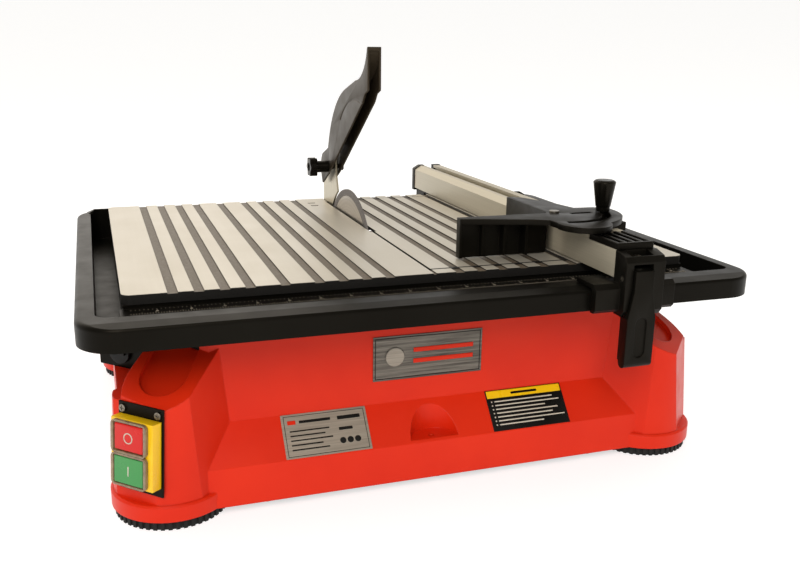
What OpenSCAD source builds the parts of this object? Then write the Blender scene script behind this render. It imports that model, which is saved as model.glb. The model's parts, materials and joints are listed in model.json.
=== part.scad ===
// Tabletop wet tile saw: a red plastic base on four feet, a black drip tray with a water
// reservoir, an aluminium deck, a diamond blade on the motor's own shaft, a tilting blade
// guard on a riving knife, and a rip fence with a mitre guide that slides along it.
// Millimetres. X runs right from the blade, Y runs back, Z runs up from the bench.

/* [Deck] */
// Width of the deck
deck_w = 501; // [499:1:502]
// Depth of the deck, front to back
deck_d = 383; // [381:1:384]
// Height of the deck's top above the bench
deck_z = 186; // [186:0.1:186.4]
// Width of the grooves between the strips
groove_w = 8; // [6:0.5:9]
// Depth of the grooves
groove_depth = 1.2; // [0.6:0.1:1.6]

/* [Blade] */
// Blade diameter
blade_d = 180; // [178:1:180]
// How far the blade stands above the deck
blade_cut = 28.7; // [27:0.1:29]
// Thickness of the diamond rim
rim_t = 2.2; // [1.8:0.1:2.4]

/* [Tray] */
// Width of the tray over its rim
tray_w = 576; // [574:1:578]
// Depth of the tray over its rim
tray_d = 464; // [462:1:464]
// Height of the rim's top above the bench
rim_z = 179.5; // [179:0.1:179.6]

/* [Base] */
// Distance from the middle to the centre of a corner pillar, left to right
pillar_x = 224; // [223:1:225]
// Wall thickness of the base moulding
wall = 3; // [2.6:0.1:3.2]
// Height of a rubber foot
foot_h = 8; // [7:0.5:8]
// Radius of a rubber foot
foot_r = 46; // [44:0.5:47]

/* [Fence] */
// Distance from the blade to the fence's working face, as parked
fence_gap = 137; // [136:0.5:138]
// Width of the fence rail
fence_w = 35; // [35:0.5:36]
// Height of the fence's top above the deck
fence_h = 30; // [29:0.5:30]

/* [Hidden] */
$fn = 64;
eps = 0.01;

// Places worked out from the driving sizes
deck_left = -254;
deck_front = -181;
deck_right = deck_left + deck_w;
deck_back = deck_front + deck_d;
deck_plate = 3;
skirt_z = deck_z - 8;
blade_r = blade_d / 2;
blade_y = 84.6;
blade_z = deck_z + blade_cut - blade_r;
base_mid_y = 4.5;
pillar_y = -165;
base_low = foot_h;
side_top = 101;
tray_low = 146;
tray_mid_y = -9;
tray_x0 = -tray_w / 2;
tray_x1 = tray_x0 + tray_w;
tray_y0 = tray_mid_y - tray_d / 2;
tray_y1 = tray_mid_y + tray_d / 2;
sump_low = 101;
plate_half_w = 22;
red = "orangered";
black = "#1b1b1b";

// Strip widths, from the deck's left edge to the blade, and from the blade to the right edge
left_strips = [34, 12, 12, 12, 20, 20, 12, 12, 12, 34];
right_strips = [18, 12, 12, 12, 12, 20, 20, 12, 12];

// Sum of the first n entries of a list
function sum_to(v, n) = n <= 0 ? 0 : v[n - 1] + sum_to(v, n - 1);
// Left edge of the groove after strip n
function groove_at(strips, start, n) = start + sum_to(strips, n + 1) + n * groove_w;
// Points of an arc, for outlines
function arc(c, r, a0, a1, n = 12) =
    [for (i = [0:n]) c + r * [cos(a0 + (a1 - a0) * i / n), sin(a0 + (a1 - a0) * i / n)]];

// A box given by its two corners
module box(low, high) {
    translate(low) cube(high - low);
}

// A cylinder along X, from x0 to x1
module rod_x(x0, x1, y, z, r) {
    translate([x0, y, z]) rotate([0, 90, 0]) cylinder(h = x1 - x0, r = r);
}

// A cylinder along Y, from y0 to y1
module rod_y(y0, y1, x, z, r) {
    translate([x, y0, z]) rotate([-90, 0, 0]) cylinder(h = y1 - y0, r = r);
}

// An outline in Y and Z, extruded along X
module slab_x(x0, x1) {
    translate([x0, 0, 0]) rotate([90, 0, 90]) linear_extrude(height = x1 - x0) children();
}

// An outline in X and Z, extruded along Y
module slab_y(y0, y1) {
    translate([0, y1, 0]) rotate([90, 0, 0]) linear_extrude(height = y1 - y0) children();
}

// An upright block with round corners
module round_block(low, high, r) {
    h = high[2] - low[2];
    translate([low[0] + r, low[1], low[2]]) cube([high[0] - low[0] - 2 * r, high[1] - low[1], h]);
    translate([low[0], low[1] + r, low[2]]) cube([high[0] - low[0], high[1] - low[1] - 2 * r, h]);
    for (x = [low[0] + r, high[0] - r], y = [low[1] + r, high[1] - r])
        translate([x, y, low[2]]) cylinder(h = h, r = r);
}

// The same shape on all four corners of the base
module four_corners() {
    for (m = [0, 1], n = [0, 1])
        translate([0, n * 2 * base_mid_y, 0]) mirror([m, 0, 0]) mirror([0, n, 0]) children();
}

// The same shape at the front and the back of the base
module front_and_back() {
    for (n = [0, 1])
        translate([0, n * 2 * base_mid_y, 0]) mirror([0, n, 0]) children();
}

// ---------------------------------------------------------------- base

// Frame of the front left pillar: X points out to the corner, Y along the front flank's normal
module pillar_frame() {
    translate([-pillar_x, pillar_y, 0]) rotate([0, 0, 225]) children();
}

// Plan of a pillar's upper block, which stands on the shelf at the walls' top
block_mid = [13.6, 9];
block_r = 32.3;

module pillar_block(inset, low, high) {
    r = block_r - inset;
    translate([0, 0, low]) linear_extrude(height = high - low) {
        translate(block_mid) circle(r = r, $fn = 96);
        translate([-60, block_mid[1] - r]) square([60 + block_mid[0], 2 * r]);
    }
}

// A corner pillar, shrunk by inset: a drafted round with three flats, a shelf half way up on
// its outer side, and a narrower block with a sloping top above that
module pillar(inset) {
    top_low = 100 - 1.2 * inset;
    slope = 0.66;
    reach = 120;
    intersection() {
        pillar_frame() intersection() {
            union() {
                pillar_block(inset, 0, 160);
                box([-reach, -reach, -1], [reach, reach, side_top - 1.1 * inset]);
            }
            union() {
                translate([0, 0, -1]) cylinder(h = 161, r1 = 47.3 - inset, r2 = 38.8 - inset, $fn = 96);
                box([-35, 0, -1], [0, 60, 160]);
                box([-19.5 + inset, -60, -1], [0, 0, 160]);
            }
            // Two flanks, leaning in as they rise
            slab_x(-reach, reach) polygon([[-45.2 + inset, -1], [45.2 - inset, -1],
                                           [34 - inset, 160], [-30.4 + inset, 160]]);
            // The outer flat, which carries the switch at the front left
            slab_y(-reach, reach) polygon([[-reach, -1], [43.4 - inset, -1],
                                           [29.3 - inset, 160], [-reach, 160]]);
        }
        box([-300, -300, -1], [0, 0, tray_low + (inset > 0 ? 1 : 0)]);
        // The top slopes down to the outer corner
        translate([-228.4, -206, 0]) rotate([0, 0, 58]) slab_y(-200, 200)
            polygon([[-reach, -2], [reach, -2], [reach, top_low + slope * reach],
                     [-reach, top_low - slope * reach]]);
    }
}

// Half of the long walls: a low wall, a sloping shelf and an upright wall, shrunk by inset
module belt(inset, top) {
    intersection() {
        slab_x(-262 + inset, 262 - inset) polygon([
            [-203 + inset, -1], [-199 + inset, 40.5 - 0.38 * inset], [-173.5 + inset, 70 - 0.77 * inset],
            [-173.5 + inset, top], [base_mid_y + eps, top], [base_mid_y + eps, -1]]);
        // Its corners are cut off under the pillars
        translate([0, 0, -2]) linear_extrude(height = top + 4) polygon([
            [-262, -165], [-224, -203], [224, -203], [262, -165], [262, 10], [-262, 10]]);
    }
}

// The upper walls' plan: a long box with its corners cut at 45 degrees
module upper_plan(inset, z0, z1) {
    translate([0, 0, z0]) linear_extrude(height = z1 - z0) polygon([
        [-190 + 0.41 * inset, -173.5 + inset], [190 - 0.41 * inset, -173.5 + inset],
        [225 - inset, -138.5 + 0.41 * inset], [225 - inset, base_mid_y + eps],
        [-225 + inset, base_mid_y + eps], [-225 + inset, -138.5 + 0.41 * inset]]);
}

// The whole base as a solid, shrunk by inset
module base_solid(inset, top) {
    front_and_back() {
        belt(inset, side_top - inset);
        upper_plan(inset, 60, top);
    }
    four_corners() pillar(inset);
}

// Frame on a pillar's sloping top: X up the slope, Z out of it
module slope_frame() {
    translate([-228.4, -206, 100]) rotate([0, 0, 58]) rotate([0, -33.4, 0]) children();
}

// Scoop in a pillar's sloping top, with a round lower end
scoop_r = 19.7;
scoop_depth = 4;

module pillar_scoop() {
    slope_frame() translate([31.5, 13.6, -scoop_depth]) {
        cylinder(h = 40, r = scoop_r);
        translate([0, -scoop_r, 0]) cube([60, 2 * scoop_r, 40]);
    }
}

module base_housing() color(red) difference() {
    union() {
        difference() {
            union() {
                base_solid(0, tray_low);
                // Flange bands over the feet, with a small chamfer
                four_corners() translate([-pillar_x, pillar_y, base_low]) {
                    cylinder(h = 12.5, r = 48.5, $fn = 96);
                    translate([0, 0, 12.5]) cylinder(h = 1.5, r1 = 48.5, r2 = 47, $fn = 96);
                }
            }
            difference() {
                base_solid(wall, tray_low + 1);
                // Scoop backings, so that the pillars stay closed under their scoops
                four_corners() difference() {
                    intersection() {
                        pillar(0.5);
                        slope_frame() translate([4, -12, -scoop_depth - wall]) cube([70, 52, 8]);
                    }
                    upper_plan(wall, 50, tray_low + 2);
                }
                // Floors that the feet are screwed to
                four_corners() translate([-pillar_x, pillar_y, base_low]) cylinder(h = 3, r = 46);
                // Screw bosses for the bottom cover
                for (x = [-150, 0, 150]) front_and_back()
                    translate([x, -195, base_low + 2.5]) cylinder(h = 26, r = 5);
                // Back of the arched pocket
                translate([-2.7, -198.7, base_low + 5]) cylinder(h = 57, r = 24.5);
            }
            // Nothing below the walls, and open sides where the reservoir passes out
            box([-300, -300, -5], [300, 300, base_low]);
            for (s = [-1, 1])
                box([s * 262 - 42, -138, side_top], [s * 262 + 42, 147, tray_low + 1]);
        }
    }
    four_corners() pillar_scoop();
    // The arched pocket in the front shelf
    translate([-2.7, -198.7, 42.5]) cylinder(h = 60, r = 22);
    // Screw holes
    translate([-4, -191.5, 30]) cylinder(h = 20, r = 2.2);
    four_corners() translate([-pillar_x, pillar_y, base_low - 1]) cylinder(h = 6, r = 2.5);
    for (x = [-150, 0, 150]) front_and_back()
        translate([x, -195, base_low - 1]) cylinder(h = 22, r = 1.8);
    // Window behind the switch plate, and its screw holes
    switch_frame() {
        translate([-18, -27, -12]) cube([36, 54, 20]);
        switch_holes(1.4, -8);
    }
    // Cable gland hole in the back wall
    rod_y(190, 230, -170, 26, 8);
}

module bottom_cover() color(black) difference() {
    union() {
        box([-172, -198, base_low], [172, 207, base_low + 2.5]);
        box([-258, -110, base_low], [258, 119, base_low + 2.5]);
        // Saddle ribs under the capacitor clip
        box([-130, 40, base_low], [-70, 44, base_low + 8]);
    }
    // Cooling slots under the motor
    for (i = [0:9]) box([-190 + i * 16, 60, base_low - 1], [-184 + i * 16, 120, base_low + 4]);
    for (x = [-150, 0, 150]) front_and_back()
        translate([x, -195, base_low - 1]) cylinder(h = 5, r = 2.3);
    // Room for the corner floors
    four_corners() translate([-pillar_x, pillar_y, base_low - 1]) cylinder(h = 5, r = 49);
}

module cover_screws() color("silver") for (x = [-150, 0, 150]) front_and_back()
    translate([x, -195, base_low - 2]) {
        cylinder(h = 2, r = 4);
        cylinder(h = 20, r = 1.8);
    }

// A ribbed rubber foot, screwed to the pillar above it
module foot(mx, my) {
    translate([0, my * 2 * base_mid_y, 0]) mirror([mx, 0, 0]) mirror([0, my, 0])
        color(black) translate([-pillar_x, pillar_y, 0]) difference() {
            union() {
                cylinder(h = foot_h, r = foot_r - 1.5, $fn = 96);
                for (a = [0:7.5:352.5]) rotate([0, 0, a])
                    translate([foot_r - 3, -1.6, 0]) cube([3, 3.2, foot_h - 1]);
            }
            translate([0, 0, -1]) cylinder(h = 5, r = 6);
            cylinder(h = foot_h + 1, r = 2.6);
        }
}

module foot_front_left() foot(0, 0);
module foot_front_right() foot(1, 0);
module foot_back_left() foot(0, 1);
module foot_back_right() foot(1, 1);

module foot_screws() color("silver") four_corners() translate([-pillar_x, pillar_y, 1.5]) {
    cylinder(h = 2.5, r = 5);
    cylinder(h = 18, r = 2.5);
}

// Brushed badge on the front wall: a plain blade disc stands for a mark
module front_badge() color("dimgray") difference() {
    union() {
        box([-52.5, -174.3, 91], [48.5, -173.5, 131]);
        rod_y(-174.9, -174.2, -33, 112, 9);
    }
    rod_y(-176, -174.3, -33, 112, 3);
}

// Frame on the sloping shelf: X along it, Y up the slope, Z out of it
module shelf_frame() {
    translate([0, -199, 40.5]) rotate([49.16, 0, 0]) children();
}

module rating_plate() color("silver") shelf_frame() translate([-134, 0.6, 0]) cube([74, 38, 0.5]);

module notice_plate() color("#222222") shelf_frame() translate([53, 0.6, 0]) cube([76, 38, 0.5]);

module cable_gland() color(black) {
    difference() {
        union() {
            rod_y(206, 228, -170, 26, 7.9);
            translate([-170, 214.8, 26]) rotate([-90, 0, 0]) cylinder(h = 7, r = 12, $fn = 6);
            rod_y(221.8, 232, -170, 26, 9.5);
        }
        rod_y(200, 240, -170, 26, 4);
    }
}

// ---------------------------------------------------------------- switch

switch_h = 71;

// Frame on the switch flat: X to the right, Y up, Z out of the pillar
module switch_frame() {
    pillar_frame() translate([37.66, 5.5, 66]) rotate([90 - 5, 0, 90]) children();
}

// Two screw places at the top and one at the bottom
module switch_holes(r, z) {
    for (p = [[-17.5, 30.5], [17.5, 30.5], [0, -31.5]])
        translate([p[0], p[1], z]) cylinder(h = 14, r = r);
}

module switch_plate() color(black) switch_frame() difference() {
    translate([-plate_half_w, -switch_h / 2, 0.05]) cube([2 * plate_half_w, switch_h, 1.5]);
    translate([-17.5, -26, -1]) cube([35, 52, 4]);
    switch_holes(1.7, -2);
}

module switch_screws() color("silver") switch_frame() {
    switch_holes_screws();
}

module switch_holes_screws() {
    for (p = [[-17.5, 30.5], [17.5, 30.5], [0, -31.5]]) translate([p[0], p[1], 0]) {
        translate([0, 0, -6]) cylinder(h = 7, r = 1.4);
        difference() {
            translate([0, 0, 1.6]) cylinder(h = 1.6, r = 3);
            for (a = [0, 90]) rotate([0, 0, a]) translate([-2, -0.4, 2.4]) cube([4, 0.8, 2]);
        }
    }
}

housing_half_w = 20.5;
housing_top = 26;
housing_low = -28;
housing_out = 11.5;
button_w = 28;
button_h = 21.5;
stop_at = [-1, 12.3];
start_at = [-1, -14.3];

module switch_housing() color("gold") switch_frame() difference() {
    translate([-housing_half_w, housing_low, 1.6]) cube([2 * housing_half_w, housing_top - housing_low,
                                                        housing_out - 1.6]);
    // Open at the back, with two wells for the buttons
    translate([-housing_half_w + 2, housing_low + 2, 0]) cube([2 * housing_half_w - 4,
                                                    housing_top - housing_low - 4, housing_out - 2.5]);
    for (p = [stop_at, start_at]) translate([p[0] - button_w / 2 - 0.5, p[1] - button_h / 2 - 0.5, 5])
        cube([button_w + 1, button_h + 1, 10]);
}

// Sealed switch block behind the buttons
module switch_unit() color("#333333") switch_frame() {
    translate([-16.8, -25.3, -11]) cube([33.6, 48.8, 13.5]);
}

// Clear frames round the two buttons
module button_covers() color("#8a7a66") switch_frame() for (p = [stop_at, start_at])
    translate([p[0], p[1], housing_out + 0.05]) difference() {
        round_block([-17.3, -13.2, 0], [17.3, 13.2, 3.2], 4);
        translate([-button_w / 2 - 0.8, -button_h / 2 - 0.8, -1]) cube([button_w + 1.6, button_h + 1.6, 6]);
    }

// A push button with a chamfered cap on a plunger
module push_button(p) {
    switch_frame() translate([p[0], p[1], 0]) {
        translate([-button_w / 2, -button_h / 2, 8.6]) cube([button_w, button_h, housing_out - 5.6]);
        translate([0, 0, 5.8]) cylinder(h = 3, r = 6);
    }
}

module stop_button() color("firebrick") push_button(stop_at);
module start_button() color("seagreen") push_button(start_at);

// ---------------------------------------------------------------- tray and reservoir

rim_front_in = -214;
rim_back_in = 207.5;
rim_left_in = -273.5;
rim_right_in = 275;
gutter_z = 149;
ledge_z = 174.5;
rim_low = 160.5;
ridge_z = rim_z + 4;

// Section of the rim from its outer face inwards: an upright face and a rolled top edge
module rim_section(reach) {
    roll = 4;
    polygon(concat([[0, rim_low], [reach, rim_low]],
                   [for (i = [0:6]) [reach - roll + roll * cos(15 * i), rim_z - roll + roll * sin(15 * i)]],
                   [[0, rim_z]]));
}

rim_r = 32;

// The rim's outer body: four straight stretches and four round corners about a plain block
module rim_body() {
    x = tray_w / 2 - rim_r;
    y = tray_d / 2 - rim_r;
    translate([0, tray_mid_y, 0]) {
        box([-x, -y, rim_low], [x, y, rim_z]);
        for (m = [0, 1]) mirror([m, 0, 0]) {
            translate([x, 0, 0]) slab_y(-y, y) rim_section(rim_r);
            for (n = [0, 1]) mirror([0, n, 0])
                translate([x, y, 0]) rotate_extrude(angle = 90) rim_section(rim_r);
        }
        for (n = [0, 1]) mirror([0, n, 0]) translate([0, y, 0]) slab_x(-x, x) rim_section(rim_r);
    }
}

// Wedge taken off the front of the rim, which slopes gently down to the outside
module rim_slope() {
    slab_x(tray_x0 - 5, tray_x1 + 5) polygon([
        [tray_y0 + 13.5, rim_z], [tray_y0 + 13.5, rim_z + 5],
        [tray_y0 - 10, rim_z + 5], [tray_y0 - 10, rim_z - 2.6]]);
}

// The back of the rim stands a little higher, with a top that slopes down behind
module back_ridge() {
    intersection() {
        slab_x(rim_left_in - 4, rim_right_in + 4) polygon([
            [rim_back_in - 3, rim_z - 8], [rim_back_in - 3, ridge_z], [rim_back_in + 2, ridge_z],
            [rim_back_in + 13, rim_z - 2], [rim_back_in + 13, rim_z - 8]]);
        slab_y(rim_back_in - 5, rim_back_in + 15) polygon([
            [rim_left_in - 4, rim_z - 10], [rim_left_in - 4, rim_z - 1], [rim_left_in + 6, ridge_z + 1],
            [rim_right_in - 6, ridge_z + 1], [rim_right_in + 4, rim_z - 1], [rim_right_in + 4, rim_z - 10]]);
    }
}

module tray() color(black) difference() {
    union() {
        difference() {
            rim_body();
            rim_slope();
            // Hollow underneath
            round_block([tray_x0 + 3, tray_y0 + 3, rim_low - 1],
                        [tray_x1 - 3, tray_y1 - 3, rim_z - 7], rim_r - 3);
        }
        // Inner tub, carved out below, with its front lower edge cut off
        difference() {
            round_block([rim_left_in - 3, rim_front_in - 3, tray_low],
                        [rim_right_in + 3, rim_back_in + 3, rim_z - 4], 13);
            slab_x(tray_x0, tray_x1) polygon([
                [rim_front_in - 4, tray_low - 1], [rim_front_in - 4, rim_low + 0.6],
                [rim_front_in + 22, tray_low], [rim_front_in + 22, tray_low - 1]]);
        }
        back_ridge();
    }
    // The gutter, round the ledge and the wall that the deck rests on
    difference() {
        round_block([rim_left_in, rim_front_in, gutter_z], [rim_right_in, rim_back_in, rim_z + 10], 10);
        box([deck_left - 2, rim_front_in - 5, tray_low], [deck_right, deck_front + 3, ledge_z]);
        box([deck_left + 1, deck_front + 1, tray_low], [deck_right - 1, deck_back - 1, skirt_z]);
        slab_x(tray_x0, tray_x1) polygon([
            [rim_front_in - 1, gutter_z - 1], [rim_front_in - 1, rim_low + 2.5],
            [rim_front_in + 23, gutter_z], [rim_front_in + 23, gutter_z - 1]]);
    }
    // Hollow under the ledge
    box([deck_left + 1, rim_front_in + 2, tray_low - 2], [deck_right - 3, deck_front - 2, ledge_z - 3]);
    // Opening under the deck, down to the reservoir
    box([-240, -165, tray_low - 2], [236, 188, gutter_z + 2]);
    box([deck_left + 5, deck_front + 5, gutter_z], [deck_right - 5, deck_back - 5, skirt_z + 20]);
    // Drain notches through the deck's support wall
    for (y = [-120, -20, 80, 160], x = [deck_left - 2, deck_right - 8])
        box([x, y, gutter_z], [x + 10, y + 18, gutter_z + 8]);
    for (x = [-200, -60, 60, 180]) box([x, deck_back - 8, gutter_z], [x + 18, deck_back + 2, gutter_z + 8]);
}

// The reservoir's plan: a long box with its corners cut at 45 degrees, shrunk by inset
module sump_plan(inset, z0, z1) {
    translate([0, 0, z0]) linear_extrude(height = z1 - z0) {
        x0 = 273 - inset;
        x1 = 188.3 - 0.41 * inset;
        y0 = -170.5 + inset;
        y1 = -85.8 + 0.41 * inset;
        b = 2 * base_mid_y;
        polygon([[-x1, y0], [x1, y0], [x0, y1], [x0, b - y1], [x1, b - y0],
                 [-x1, b - y0], [-x0, b - y1], [-x0, y1]]);
    }
}

// Frame on the reservoir's front left corner face, Z pointing out of it
module drain_frame() {
    translate([-256, -102.8, 116]) rotate([0, 0, 225]) rotate([0, 90, 0]) children();
}

bolt_angles = [-18, 54, 126, 198];
dome_low = [-201, 31, sump_low];
dome_high = [-24, 139, 176];

module water_reservoir() color(black) difference() {
    union() {
        difference() {
            sump_plan(0, sump_low, tray_low);
            sump_plan(2.5, sump_low + 2.5, tray_low + 1);
        }
        // Well for the blade
        box([-16, blade_y - 94.5, 27], [26, blade_y + 94.5, sump_low + 1]);
        // Dry dome over the motor
        box(dome_low, dome_high);
        // Ring round the drain hole
        drain_frame() translate([0, 0, -4]) cylinder(h = 4, r = 13.5);
    }
    box([-13.5, blade_y - 92, 29.5], [23.5, blade_y + 92, sump_low + 10]);
    box(dome_low + [2.5, 2.5, -2], dome_high - [2.5, 2.5, 2.5]);
    // Drain hole, shaft hole and motor screw holes
    drain_frame() translate([0, 0, -8]) cylinder(h = 12, r = 9);
    rod_x(-28, -20, blade_y, blade_z, 12);
    for (a = bolt_angles) rod_x(-28, -20, blade_y + 36 * cos(a), blade_z + 36 * sin(a), 2.6);
}

module drain_plug() color("#101010") drain_frame() difference() {
    union() {
        translate([0, 0, -3.5]) cylinder(h = 4, r = 8.95);
        translate([0, 0, 0.3]) cylinder(h = 2.5, r = 11);
        translate([-2, -8, 0.3]) cube([4, 16, 5]);
    }
    translate([0, 0, -4]) cylinder(h = 3, r = 6);
}

module shaft_seal() color("#202020") difference() {
    rod_x(-26.45, -21, blade_y, blade_z, 11.95);
    rod_x(-30, -20, blade_y, blade_z, 8.05);
}

// ---------------------------------------------------------------- deck

panel_left = 1.2;
panel_right = 131;
panel_front = deck_front + 15;
// Seam all round the panel
panel_gap = 1;
panel_back = deck_back - 15;
slot_front = -4.4;
slot_back = 181;

module grooves() {
    for (i = [0:8]) {
        x = groove_at(left_strips, deck_left, i);
        box([x, deck_front - 1, deck_z - groove_depth], [x + groove_w, deck_back + 1, deck_z + 1]);
    }
    for (i = [0:8]) {
        x = groove_at(right_strips, panel_left - 0.4, i);
        box([x, deck_front - 1, deck_z - groove_depth], [x + groove_w, deck_back + 1, deck_z + 1]);
    }
    box([-1.6, deck_front - 1, deck_z - groove_depth], [panel_left, deck_back + 1, deck_z + 1]);
}

module blade_slot() {
    box([-3.5, slot_front, 170], [3.5, slot_back, 200]);
    // Narrow end for the riving knife
    box([-1.3, slot_back - 1, 170], [1.3, 198.3, 200]);
}

module deck() color("lightgray") difference() {
    union() {
        difference() {
            round_block([deck_left, deck_front, skirt_z], [deck_right, deck_back, deck_z], 7);
            round_block([deck_left + 3.5, deck_front + 3.5, skirt_z - 1],
                        [deck_right - 3.5, deck_back - 3.5, deck_z - deck_plate], 4);
        }
        // Stiffening ribs
        for (x = [-205, -120]) box([x, deck_front + 3, skirt_z + 1.5], [x + 2.5, deck_back - 3, deck_z - 2]);
        // Lip under the access panel
        box([-9, panel_front - 8, 180], [panel_right + 10, panel_back + 8, deck_z - deck_plate + eps]);
    }
    box([-0.8, panel_front - panel_gap, deck_z - deck_plate],
        [panel_right + panel_gap, panel_back + panel_gap, deck_z + 1]);
    box([panel_left + 6, panel_front + 8, 170], [panel_right - 8, panel_back - 8, deck_z]);
    box([-0.8, panel_front - panel_gap, 170], [panel_left + 7, slot_front, 190]);
    box([-0.8, slot_front - 1, 170], [panel_left + 7, panel_back - 8, 190]);
    blade_slot();
    grooves();
    // Two slots for the riving knife's bracket screws
    for (y = slide_slots) box([-27, y - 2, 170], [-18, y + 2, 190]);
    for (p = panel_screw_at) translate([p[0], p[1], 170]) cylinder(h = 14, r = 1.3);
}

panel_screw_at = [[23, panel_front + 4], [103, panel_front + 4],
                  [23, panel_back - 4], [103, panel_back - 4]];

module access_panel() color("lightgray") difference() {
    box([panel_left, panel_front, deck_z - deck_plate], [panel_right, panel_back, deck_z]);
    blade_slot();
    grooves();
    for (p = panel_screw_at) translate([p[0], p[1], 180]) {
        cylinder(h = 10, r = 1.7);
        translate([0, 0, 3.5]) cylinder(h = 6, r = 3.2);
    }
}

module panel_screws() color("silver") for (p = panel_screw_at) translate([p[0], p[1], 0]) {
    translate([0, 0, 178.5]) cylinder(h = 5, r = 1.3);
    translate([0, 0, 183.5]) cylinder(h = 1.1, r = 3);
}

// ---------------------------------------------------------------- motor and blade

motor_left = -190;
motor_right = -26.5;
motor_r = 47.5;

module motor_housing() color("#8d8f92") difference() {
    union() {
        rod_x(motor_left + 22, motor_right, blade_y, blade_z, motor_r);
        // Cooling fins
        for (a = [200:10:340]) translate([motor_left + 30, blade_y, blade_z]) rotate([a, 0, 0])
            translate([0, -1, motor_r - 2]) cube([110, 2, 4]);
    }
    rod_x(motor_left + 20, motor_right - 14, blade_y, blade_z, motor_r - 3);
    // Bearing seat and shaft hole in the front face
    rod_x(motor_right - 16, motor_right - 5, blade_y, blade_z, 16);
    rod_x(motor_right - 10, motor_right + 1, blade_y, blade_z, 10);
    for (a = bolt_angles) rod_x(motor_right - 12, motor_right + 1, blade_y + 36 * cos(a),
                                blade_z + 36 * sin(a), 2.5);
}

module motor_end_bell() color("#8d8f92") difference() {
    union() {
        rod_x(motor_left, motor_left + 22, blade_y, blade_z, motor_r);
        rod_x(motor_left + 22, motor_left + 26, blade_y, blade_z, motor_r - 3.05);
    }
    rod_x(motor_left + 2.5, motor_left + 18, blade_y, blade_z, motor_r - 3);
    rod_x(motor_left + 17, motor_left + 30, blade_y, blade_z, motor_r - 6);
    // Air slots in the end face
    for (a = [0:30:330]) translate([motor_left - 1, blade_y, blade_z]) rotate([a, 0, 0])
        translate([0, -2.5, 20]) cube([5, 5, 18]);
    rod_x(motor_left - 1, motor_left + 4, blade_y, blade_z, 9);
}

module motor_bolts() color("silver") for (a = bolt_angles)
    translate([0, blade_y + 36 * cos(a), blade_z + 36 * sin(a)]) {
        rod_x(-37, -23.9, 0, 0, 2.5);
        translate([-23.95, 0, 0]) rotate([0, 90, 0]) cylinder(h = 3.5, r = 4.6, $fn = 6);
    }

module motor_stator() color("#6d7075") difference() {
    union() {
        rod_x(-130, -60, blade_y, blade_z, motor_r - 3.05);
        rod_x(-146, -130, blade_y, blade_z, 40);
        rod_x(-60, -46, blade_y, blade_z, 40);
    }
    rod_x(-150, -40, blade_y, blade_z, 27.6);
}

module motor_rotor() color("#a8a9ad") difference() {
    rod_x(-134, -56, blade_y, blade_z, 27);
    rod_x(-140, -50, blade_y, blade_z, 8.6);
}

module motor_shaft() color("silver") {
    rod_x(-180, -48, blade_y, blade_z, 8.6);
    rod_x(-48, 4, blade_y, blade_z, 8);
    // Threaded nose for the arbor nut
    rod_x(4, 21, blade_y, blade_z, 6);
}

module motor_fan() color("#303030") difference() {
    union() {
        rod_x(-166, -164, blade_y, blade_z, 38);
        rod_x(-170, -154, blade_y, blade_z, 12);
        for (a = [0:45:315]) translate([-164.5, blade_y, blade_z]) rotate([a, 0, 0])
            translate([0, -1, 11]) cube([9, 2, 26]);
    }
    rod_x(-175, -150, blade_y, blade_z, 8.6);
}

// A ball bearing drawn as its two rings and the balls' cage between them
module bearing(x0, x1, bore, outer) {
    difference() {
        rod_x(x0, x1, blade_y, blade_z, outer);
        rod_x(x0 - 1, x1 + 1, blade_y, blade_z, bore);
        rod_x(x0 - 1, x0 + 1, blade_y, blade_z, outer - 2);
        rod_x(x1 - 1, x1 + 1, blade_y, blade_z, outer - 2);
    }
}

module front_bearing() color("silver") bearing(-42.5, -31.6, 8.04, 15.98);

module rear_bearing() color("silver") {
    difference() {
        union() {
            rod_x(-185, -175, blade_y, blade_z, 15.98);
            // Carrier webs out to the end bell
            for (a = [0:120:240]) translate([-180, blade_y, blade_z]) rotate([a, 0, 0])
                translate([-2, -3, 15]) cube([4, 6, motor_r - 3.3 - 15]);
        }
        rod_x(-190, -170, blade_y, blade_z, 8.64);
    }
}

cap_y = 42;

module run_capacitor() color("#e5e5e0") rod_x(-130, -70, cap_y, base_low + 26, 17.5);

module capacitor_clip() color("silver") difference() {
    union() {
        rod_x(-108, -92, cap_y, base_low + 26, 19);
        box([-108, cap_y - 26, base_low + 2.5], [-92, cap_y + 26, base_low + 4]);
        box([-108, cap_y - 10, base_low + 2.5], [-92, cap_y + 10, base_low + 12]);
    }
    rod_x(-110, -90, cap_y, base_low + 26, 17.5);
    box([-112, cap_y - 3, base_low - 2], [-88, cap_y + 5, base_low + 8.6]);
}

module blade() color("lightsteelblue") difference() {
    union() {
        rod_x(-0.8, 0.8, blade_y, blade_z, blade_r - 5);
        difference() {
            rod_x(-rim_t / 2, rim_t / 2, blade_y, blade_z, blade_r, $fn = 180);
            rod_x(-3, 3, blade_y, blade_z, blade_r - 7);
        }
    }
    rod_x(-3, 3, blade_y, blade_z, 11.1);
}

module inner_flange() color("silver") difference() {
    union() {
        rod_x(-6, -0.8, blade_y, blade_z, 28);
        rod_x(-14, -6, blade_y, blade_z, 14);
        rod_x(-0.8, 0.7, blade_y, blade_z, 11.05);
    }
    rod_x(-20, 5, blade_y, blade_z, 8);
}

module outer_flange() color("silver") difference() {
    rod_x(0.8, 5, blade_y, blade_z, 28);
    rod_x(0, 6, blade_y, blade_z, 8);
}

module arbor_nut() color("silver") difference() {
    translate([5, blade_y, blade_z]) rotate([0, 90, 0]) cylinder(h = 10, r = 12, $fn = 6);
    rod_x(4, 16, blade_y, blade_z, 6);
}

// ---------------------------------------------------------------- riving knife and guard

guard_y = 152.7;
guard_z = 232.3;
bolt_at = [[187, 161], [187, 171.5]];
slide_slots = [156.7, 173.6];

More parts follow.
